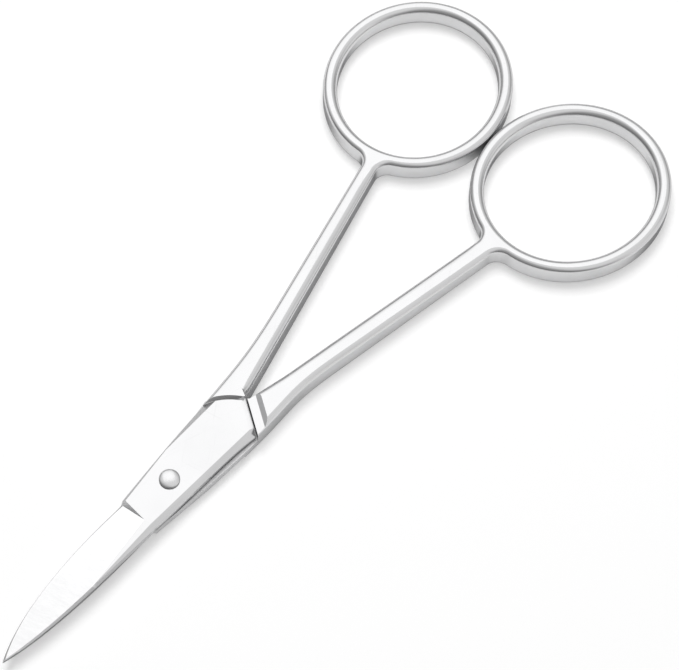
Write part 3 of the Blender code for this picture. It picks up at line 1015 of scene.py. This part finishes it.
@dataclass
class ForgedHalf:
    """One half of the scissors: ring, shank, joint plate and blade in one forging."""

    side: Side
    plan: HalfPlan
    steels: SteelFinishes
    peened: bool
    rounding: EdgeRounding = EdgeRounding(width=0.00005)

    def build(self) -> Object:
        """Builds the half at its place, hands it to its body and returns it."""
        body = self.blank()
        for cutter, wall, floor in self.cutters():
            self.cut(body, cutter, wall, floor)
        depsgraph = bpy.context.evaluated_depsgraph_get()
        mesh = bpy.data.meshes.new_from_object(body.evaluated_get(depsgraph))
        for used in [*body.children, body]:
            bpy.data.objects.remove(used)
        piece = self.finished(mesh)
        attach(piece, self.side.value)
        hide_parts(self.side.value + "_half")
        return piece

    def blank(self) -> Object:
        """The forged blank: the plan at full height, rounded from the ring to the heel."""
        plan = self.plan
        top = plan.shank.rounding / plan.shank.rounded_share
        bm = bmesh.new()
        corners = [bm.verts.new((point.x, point.y, -top)) for point in plan.outline()]
        bottom = bm.faces.new(corners)
        raised = bmesh.ops.extrude_face_region(bm, geom=[bottom])
        upper = [item for item in raised["geom"] if isinstance(item, BMVert)]
        bmesh.ops.translate(bm, verts=upper, vec=UP * 2 * top)
        lowest = plan.heel_edge.y - TOUCHING
        rims = []
        for edge in bm.edges:
            ends = [vert.co for vert in edge.verts]
            level = abs(ends[0].z - ends[1].z) < top
            above_blade = min(end.y for end in ends) > lowest
            if level and above_blade and max(end.x for end in ends) < 0:
                rims.append(edge)
        bevel(bm, rims, plan.shank.rounding, plan.fine.rounding, clamp=False)
        self.taper(bm, top)
        return add_object(self.side.value + "_forging", bm, [self.steels.materials[Surface.POLISHED]])

    def taper(self, bm: BMesh, top: float) -> None:
        """Draws the blank up to its height, which falls smoothly from the joint to the ring.

        The ring's flats are split across too, so that the finger hole leaves no holed face.

        Args:
            bm: the blank, which reaches as far above the lap plane as below.
            top: how far that is.
        """
        plan = self.plan
        centre, down = plan.ring_place
        thin = plan.ring.reach + plan.shank.fillet_radius
        thick = plan.arm_length - plan.shank.full_height_length
        levels = [thin + (thick - thin) * step / plan.fine.taper for step in range(plan.fine.taper + 1)]
        for along in [0, *levels]:
            bmesh.ops.bisect_plane(
                bm,
                geom=[*bm.verts, *bm.edges, *bm.faces],
                dist=TOUCHING,
                plane_co=plan.arm_point(along, 0).to_3d(),
                plane_no=down.to_3d(),
            )
        out = -down.orthogonal()
        for vert in bm.verts:
            place = vert.co.to_2d() - centre
            along = place.dot(down)
            inset = place.dot(out) + plan.shank_width(along) / 2
            if 0 < inset < plan.shank.rounding * ROUNDING_REACH:
                vert.co += (out * inset * plan.widening(along)).to_3d()
            share = min(max((along - thin) / (thick - thin), 0.0), 1.0)
            eased = share * share * (3 - 2 * share)
            height = plan.ring.top + (plan.shank_top - plan.ring.top) * eased
            vert.co.z *= height / top

    def cut(
        self, body: Object, cutter: Object, wall: Surface, floor: Surface
    ) -> None:
        """Takes a cutter away from the body.

        Args:
            body: the blank.
            cutter: the solid to take away.
            wall: the finish that it leaves.
            floor: the finish that its first cap leaves.
        """
        cutter.parent = body
        cutter.hide_render = True
        for surface in (wall, floor):
            cutter.data.materials.append(self.steels.materials[surface])
        modifier = body.modifiers.new(cutter.name, "BOOLEAN")
        modifier.operation = "DIFFERENCE"
        modifier.solver = "EXACT"
        modifier.material_mode = "TRANSFER"
        modifier.object = cutter

    def cutters(self) -> list[tuple[Object, Surface, Surface]]:
        """Every cutter, with the finish of its walls and of its floor."""
        return [
            (self.finger_hole(), Surface.POLISHED, Surface.POLISHED),
            (self.joint_flat(), Surface.STEP, Surface.POLISHED),
            (self.underside_flat(), Surface.SHOULDER, Surface.POLISHED),
            (self.lap_cut(), Surface.HOLLOW, Surface.HOLLOW),
            (self.blade_face(), Surface.SHOULDER, Surface.BLADE),
            (self.outer_facet(), Surface.OUTER_FACET, Surface.SHOULDER),
            (self.spine_facet(), Surface.FACET, Surface.FACET),
            (self.end_facet(), Surface.FACET, Surface.FACET),
            (self.cutting_bevel(), Surface.WHETTED, Surface.WHETTED),
            (self.pivot_hole(), Surface.HOLLOW, Surface.HOLLOW),
        ]

    def level_prism(
        self, name: str, plan: list[Vector], height: float, spread_plan: list[Vector]
    ) -> Object:
        """A cutter whose floor has this plan and height, with walls up to a wider plan."""
        floor = [point.to_3d() + UP * height for point in plan]
        roof = [point.to_3d() + UP * (height + CUTTER_REACH) for point in spread_plan]
        return loft(name, [floor, roof])

    def finger_hole(self) -> Object:
        """Spool that cuts the finger hole and rounds both of its rims."""
        plan = self.plan
        rounding_height = plan.ring.hole_rounding_height
        profile = []
        for step in range(plan.fine.rounding + 1):
            turn = math.pi / 2 * step / plan.fine.rounding
            widening = plan.ring.hole_rounding * (1 - math.cos(turn))
            height = plan.ring.top - rounding_height * (1 - math.sin(turn))
            profile.append(Vector((widening - plan.ring.half_bar, height)))
        profile.append(profile[-1] + (profile[-1] - profile[-3]))
        lower = [Vector((point.x, -point.y)) for point in reversed(profile)]
        turns = [2 * math.pi * step / plan.fine.hole for step in range(plan.fine.hole)]
        sections = []
        for level in [*lower, *profile]:
            ring = [plan.arm_point(*plan.ring.oval(turn, level.x)) for turn in turns]
            sections.append([point.to_3d() + UP * level.y for point in ring])
        return loft("finger_hole", sections)

    def joint_flat(self) -> Object:
        """Wheel cut that levels the plate and leaves the arched step at the shank's end."""
        plan = self.plan
        foot = plan.step_foot_radius
        brow = foot + CUTTER_REACH * plan.plate.step_slope
        plans = []
        for radius in (foot, brow):
            outline = []
            for step in range(plan.fine.wheel + 1):
                turn = math.pi * (1 - 0.5 * step / plan.fine.wheel)
                spoke = Vector((math.cos(turn), math.sin(turn)))
                outline.append(plan.step_centre + spoke * radius)
            far = plan.step_centre.x + radius
            outline.append(Vector((far, outline[-1].y)))
            outline.append(Vector((far, -CUTTER_REACH)))
            outline.append(Vector((outline[0].x, -CUTTER_REACH)))
            plans.append(outline)
        return self.level_prism("joint_flat", plans[0], plan.plate_top, plans[1])

    def underside_flat(self) -> Object:
        """Cut that levels the shank where the other half's plate ends."""
        plan = self.plan
        inset = plan.plate.shoulder_gap + plan.plate.shoulder_strip
        foot = plan.lap_corner + plan.shoulder_out * inset
        brow = foot + plan.shoulder_out * CUTTER_REACH * plan.plate.shoulder_slope
        plans = []
        for point in (foot, brow):
            left = point + plan.shoulder_along * CUTTER_REACH
            right = point - plan.shoulder_along * CUTTER_REACH
            back = plan.shoulder_out * CUTTER_REACH
            plans.append([left, right, right - back, left - back])
        return underside(self.level_prism("underside_flat", plans[0], plan.plate_top, plans[1]))

    def lap_cut(self) -> Object:
        """Cut that takes the lower half away, up to the shoulder of the other plate's end."""
        plan = self.plan
        shoulder = plan.lap_corner + plan.shoulder_out * plan.plate.shoulder_gap
        left = shoulder + plan.shoulder_along * CUTTER_REACH
        corner = shoulder - plan.shoulder_along * (shoulder.x / plan.shoulder_along.x)
        right = Vector((CUTTER_REACH, corner.y))
        below = Vector((0, -2 * CUTTER_REACH))
        outline = [left, corner, right, right + below, left + below]
        return underside(self.level_prism("lap_cut", outline, -plan.ride_height, outline))

    def blade_face(self) -> Object:
        """Cut that grinds the blade down from its back to its edge, from the heel on."""
        plan = self.plan
        far = -plan.blade.from_pivot - PAST
        near = -plan.blade.heel_from_pivot
        wide = plan.plate.corner_x + PAST
        corners = [Vector(pair) for pair in ((-wide, near), (wide, near), (wide, far), (-wide, far))]
        floor = [point.to_3d() + UP * plan.face_height(point) for point in corners]
        rise = UP * plan.shank_top
        lean = rise + Vector((0, plan.shank_top / plan.blade.face_wall_slope, 0))
        roof = [floor[0] + lean, floor[1] + lean, floor[2] + rise, floor[3] + rise]
        return loft("blade_face", [floor, roof])

    def facet(
        self,
        name: str,
        line: list[Vector],
        inwards: list[Vector],
        slopes: list[float],
        inside: float,
    ) -> Object:
        """Cut above a strip that passes through a line and rises inwards.

        Args:
            name: the cutter's name.
            line: points that the strip passes through.
            inwards: the plan direction into the body at each point.
            slopes: rise over run at each point.
            inside: how far past the line the strip goes on.

        Returns:
            The cutter.
        """
        sections = []
        for point, inward, slope in zip(line, inwards, slopes):
            rise = inward.to_3d() + UP * slope
            low = point - rise * PAST
            high = point + rise * inside
            sections.append([low, high, high + UP * CUTTER_REACH, low + UP * CUTTER_REACH])
        return loft(name, sections)

    def even_facet(
        self, name: str, points: list[Vector], height: float, slope: float, inside: float
    ) -> Object:
        """A facet of one slope; inwards is to the left, going down the list of points.

        Args:
            name: the cutter's name.
            points: the line's points in plan.
            height: the line's height.
            slope: rise over run.
            inside: how far past the line the strip goes on.

        Returns:
            The cutter.
        """
        inwards = []
        for before, after in zip([points[0], *points], [*points[1:], points[-1]]):
            inwards.append((after - before).orthogonal().normalized())
        line = [point.to_3d() + UP * height for point in points]
        return self.facet(name, line, inwards, [slope] * len(line), inside)

    def outer_facet(self) -> Object:
        """Facet on the plate's outer side, from the foot of the step to the heel."""
        plan = self.plan
        at_step = plan.lap_corner
        for _ in range(SETTLE_ROUNDS):
            at_step = plan.step_foot(plan.outer_side_x(at_step.y))
        top = plan.step_foot(at_step.x + plan.plate.outer_facet_at_step)
        bottom = plan.heel_edge + Vector((plan.plate.outer_facet_at_heel, -PAST))
        inward = (bottom - top).orthogonal().normalized()
        along_step = (top - at_step) / (top - at_step).dot(inward)
        line = [point.to_3d() + UP * plan.plate_top for point in (top, bottom)]
        slopes = [plan.plate.outer_facet_slope_at_step, plan.plate.outer_facet_slope_at_heel]
        return self.facet("outer_facet", line, [along_step, inward], slopes, PAST)

    def spine_facet(self) -> Object:
        """Facet on the plate's inner side and on down the blade's back, where it runs out."""
        plan = self.plan
        corner = Vector((plan.plate.spine_facet_at_corner, plan.plate_corner.y + PAST))
        heel = Vector((plan.plate.spine_facet_at_heel, -plan.blade.heel_from_pivot))
        end = Vector((plan.plate.spine_facet_at_heel, -plan.blade.from_pivot))
        slope = plan.plate.spine_facet_slope
        points = [end, heel, corner]
        return self.even_facet("spine_facet", points, plan.plate_top, slope, plan.shank.rounding)

    def end_facet(self) -> Object:
        """Facet along the plate's end, beside the other half's shoulder."""
        plan = self.plan
        inset = plan.end_out * plan.plate.end_facet_width
        start = plan.lap_corner - inset
        end = plan.plate_corner + plan.end_along * PAST - inset
        slope = plan.plate.end_facet_slope
        return self.even_facet("end_facet", [end, start], plan.plate_top, slope, plan.shank.rounding)

    def cutting_bevel(self) -> Object:
        """Steep bevel along the cutting edge, down to a narrow land above the inner face."""
        plan = self.plan
        blade = plan.blade
        height = plan.ride_height + blade.land
        edge = plan.cutting_edge()
        return self.even_facet("cutting_bevel", edge, height, blade.bevel_slope, blade.edge_thickness)

    def pivot_hole(self) -> Object:
        """Hole for the pin, countersunk in the half that the rivet's tail is peened into."""
        plan = self.plan
        radius = plan.plate.pin_hole_radius
        top = plan.plate_top
        profile = [(0, -PAST), (radius, -PAST)]
        if self.peened:
            sink = plan.plate.tail_hole_radius
            widening = (sink - radius) / plan.plate.tail_depth
            profile.append((radius, top - plan.plate.tail_depth))
            profile.append((sink + widening * PAST, top + PAST))
        else:
            profile.append((radius, top + PAST))
        profile.append((0, top + PAST))
        return turned_solid("pivot_hole", profile, plan.fine.pin)

    def finished(self, mesh: Mesh) -> Object:
        """Rounds the ground edges, sets the half in its place and dresses it.

        Args:
            mesh: the half as it comes from the cutters, on the lap plane at z = 0.

        Returns:
            The piece.
        """
        bm = bmesh.new()
        bm.from_mesh(mesh)
        bmesh.ops.remove_doubles(bm, verts=bm.verts, dist=SLIVER)
        bmesh.ops.dissolve_degenerate(bm, edges=bm.edges, dist=SLIVER)
        bmesh.ops.dissolve_limit(
            bm, angle_limit=SAME_PLANE, verts=bm.verts, edges=bm.edges, delimit={"MATERIAL"}
        )
        names = [material.name for material in mesh.materials]
        whetted = names.index(self.steels.materials[Surface.WHETTED].name)
        self.rounding.apply(bm, {whetted})
        place = Matrix.Translation(UP * LAP_HEIGHT)
        if self.side is Side.REAR:
            place = place @ Matrix.Rotation(math.pi, 4, "Y")
        bmesh.ops.transform(bm, matrix=place, verts=bm.verts)
        piece = add_object(self.side.value + "_forged_half", bm, mesh.materials)
        smooth(piece)
        return piece


@dataclass
class PivotRivet:
    """The rivet: domed head above, plain pin, and a tail peened flush in the rear plate."""

    steels: SteelFinishes
    pin_radius: float = 0.001
    head_radius: float = 0.00129
    head_rim: float = 0.00014
    head_dome: float = 0.0004
    head_clearance: float = 0.00004
    tail_radius: float = 0.0014
    tail_depth: float = 0.0005
    steps: int = 96
    dome_steps: int = 20
    rounding: EdgeRounding = EdgeRounding(width=0.00003)

    def build(self) -> Object:
        """Turns the rivet at its place on the lap, dresses it and returns it."""
        seat = 2 * LAP_HEIGHT + self.head_clearance
        rim = seat + self.head_rim
        profile = [
            (0, 0),
            (self.tail_radius, 0),
            (self.pin_radius, self.tail_depth),
            (self.pin_radius, seat),
            (self.head_radius, seat),
        ]
        for step in range(self.dome_steps):
            turn = math.pi / 2 * step / self.dome_steps
            height = rim + self.head_dome * math.sin(turn)
            profile.append((self.head_radius * math.cos(turn), height))
        profile.append((0, rim + self.head_dome))
        turned = turned_solid("turned_rivet", profile, self.steps)
        bm = bmesh.new()
        bm.from_mesh(turned.data)
        bpy.data.objects.remove(turned)
        self.rounding.apply(bm, set())
        piece = add_object("riveted_pin", bm, [self.steels.rivet])
        smooth(piece)
        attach(piece, Side.REAR.value)
        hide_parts("pivot_rivet")
        return piece


# The studio.


@dataclass(frozen=True)
class Lamp:
    """One soft rectangular lamp, aimed at the middle of the scissors."""

    name: str
    toward: tuple[float, float, float]
    distance: float
    width: float
    height: float
    radiance: float
    mirrored: bool = False

    def build(self, target: Vector) -> None:
        """Makes the lamp.

        Args:
            target: the point that it faces.
        """
        light = bpy.data.lights.new(self.name, "AREA")
        light.shape = "RECTANGLE"
        light.size = self.width
        light.size_y = self.height
        light.energy = self.radiance * math.pi * self.width * self.height
        lamp = bpy.data.objects.new(self.name, light)
        outward = Vector(self.toward).normalized()
        lamp.location = target + outward * self.distance
        lamp.rotation_euler = outward.to_track_quat("Z", "Y").to_euler()
        lamp.visible_glossy = self.mirrored
        lamp.visible_diffuse = not self.mirrored
        bpy.context.scene.collection.objects.link(lamp)


@dataclass(frozen=True)
class Studio:
    """Plain pale floor, soft lamps, white surroundings and the photograph's camera."""

    floor_height: float = -0.00052
    floor_reach: float = 2.0
    floor_colour: float = 0.97
    floor_glow: float = 0.45
    floor_mirrored_glow: float = 0.2
    fill: float = 0.12
    horizon_level: float = 0.5
    front_loss: float = 0.5
    front_step: tuple[float, float] = (-0.12, -0.68)
    sky_step: tuple[float, float] = (0.22, 0.84)
    right_step: tuple[float, float] = (0.3, 0.8)
    behind_step: tuple[float, float] = (-0.3, 0.3)
    target: tuple[float, float, float] = (0.003, 0.029, 0.0)
    lamps: tuple[Lamp, ...] = (
        Lamp(
            "mirrored_softbox",
            toward=(-0.516, 0.386, 0.764),
            distance=0.6,
            width=0.5,
            height=0.7,
            radiance=0.55,
            mirrored=True,
        ),
        Lamp(
            "overhead_key",
            toward=(-0.24, 0.2, 0.92),
            distance=0.7,
            width=0.34,
            height=0.34,
            radiance=9.9,
        ),
        Lamp(
            "overhead_fill",
            toward=(0.1, -0.1, 1.0),
            distance=0.7,
            width=0.5,
            height=0.5,
            radiance=2.0,
        ),
    )
    camera_place: tuple[float, float, float] = (0.09355877, -0.09564061, 0.28612)
    camera_turn: tuple[float, float, float] = (28.443, -1.613, 38.917)
    camera_lens: float = 136.019
    camera_sensor: float = 36.0

    def build(self) -> None:
        """Sets up the floor, the lamps, the surroundings and the camera."""
        self.build_floor()
        for lamp in self.lamps:
            lamp.build(Vector(self.target))
        self.build_surroundings()
        self.build_camera()
        bpy.context.scene.view_settings.view_transform = "Standard"

    def build_floor(self) -> None:
        """Lays the pale floor under the shanks, which glows a little so that shadows stay soft."""
        material = bpy.data.materials.new("pale_floor")
        material.use_nodes = True
        graph = Graph(material.node_tree)
        shader = graph.tree.nodes["Principled BSDF"]
        colour = (*[self.floor_colour] * 3, 1.0)
        graph.feed(shader, {"Base Color": colour, "Roughness": 1.0, "Specular IOR Level": 0.0})
        path = graph.add("LightPath")
        seen = graph.combine("MULTIPLY", path["Is Camera Ray"], self.floor_glow)
        mirrored = graph.combine("MAXIMUM", path["Is Glossy Ray"], path["Is Transmission Ray"])
        mirrored = graph.combine("MULTIPLY", mirrored, self.floor_mirrored_glow)
        share = graph.combine("MAXIMUM", seen, mirrored)
        glow = graph.add("Emission")["Emission"]
        both = graph.add("MixShader", {0: share, 1: shader.outputs["BSDF"], 2: glow})["Shader"]
        graph.feed(graph.tree.nodes["Material Output"], {"Surface": both})
        bm = bmesh.new()
        bmesh.ops.create_grid(bm, x_segments=1, y_segments=1, size=self.floor_reach)
        bmesh.ops.translate(bm, verts=bm.verts, vec=UP * self.floor_height)
        floor = add_object("floor", bm, [material])

    def build_surroundings(self) -> None:
        """White surroundings where they are seen, with a greyer horizon in mirrors, and a fill."""
        world = bpy.data.worlds.new("surroundings")
        bpy.context.scene.world = world
        world.use_nodes = True
        world.cycles.sampling_method = "NONE"
        graph = Graph(world.node_tree)
        path = graph.add("LightPath")
        towards = graph.add("SeparateXYZ", {"Vector": graph.add("TexCoord")["Generated"]})
        high = graph.ramp(towards["Z"], *self.sky_step)
        right = graph.ramp(towards["X"], *self.right_step)
        behind = graph.ramp(towards["Y"], *self.behind_step)
        bright = graph.combine("MAXIMUM", high, graph.combine("MULTIPLY", right, behind))
        bright = graph.combine("MULTIPLY", bright, 1 - self.horizon_level)
        bright = graph.combine("ADD", bright, self.horizon_level)
        front = graph.ramp(towards["Y"], *self.front_step)
        kept = graph.combine("ADD", graph.combine("MULTIPLY", front, -self.front_loss), 1.0)
        mirrored = graph.combine("MULTIPLY", bright, kept)
        mirrored = graph.combine("MULTIPLY", mirrored, path["Is Glossy Ray"])
        seen = graph.combine("MAXIMUM", path["Is Camera Ray"], path["Is Transmission Ray"])
        strength = graph.combine("MAXIMUM", seen, mirrored)
        strength = graph.combine("MAXIMUM", strength, self.fill)
        white = (1.0, 1.0, 1.0, 1.0)
        graph.feed(graph.tree.nodes["Background"], {"Color": white, "Strength": strength})

    def build_camera(self) -> None:
        """Sets the camera at the photograph's viewing angle."""
        camera = bpy.data.cameras.new("camera")
        camera.lens = self.camera_lens
        camera.sensor_width = self.camera_sensor
        viewpoint = bpy.data.objects.new("camera", camera)
        viewpoint.location = self.camera_place
        viewpoint.rotation_euler = Euler([math.radians(angle) for angle in self.camera_turn])
        bpy.context.scene.collection.objects.link(viewpoint)
        bpy.context.scene.camera = viewpoint


def main() -> None:
    """Builds the halves, the rivet and the studio in order."""
    logging.basicConfig(level=logging.INFO, format="%(message)s")
    steels = SteelFinishes(Effects())
    makers = [
        ForgedHalf(Side.FRONT, FRONT_PLAN, steels, peened=False),
        ForgedHalf(Side.REAR, REAR_PLAN, steels, peened=True),
        PivotRivet(steels),
    ]
    for maker in makers:
        piece = maker.build()
        LOG.info("%s: %d faces", piece.name, len(piece.data.polygons))
    Studio().build()


if __name__ == "__main__":
    main()
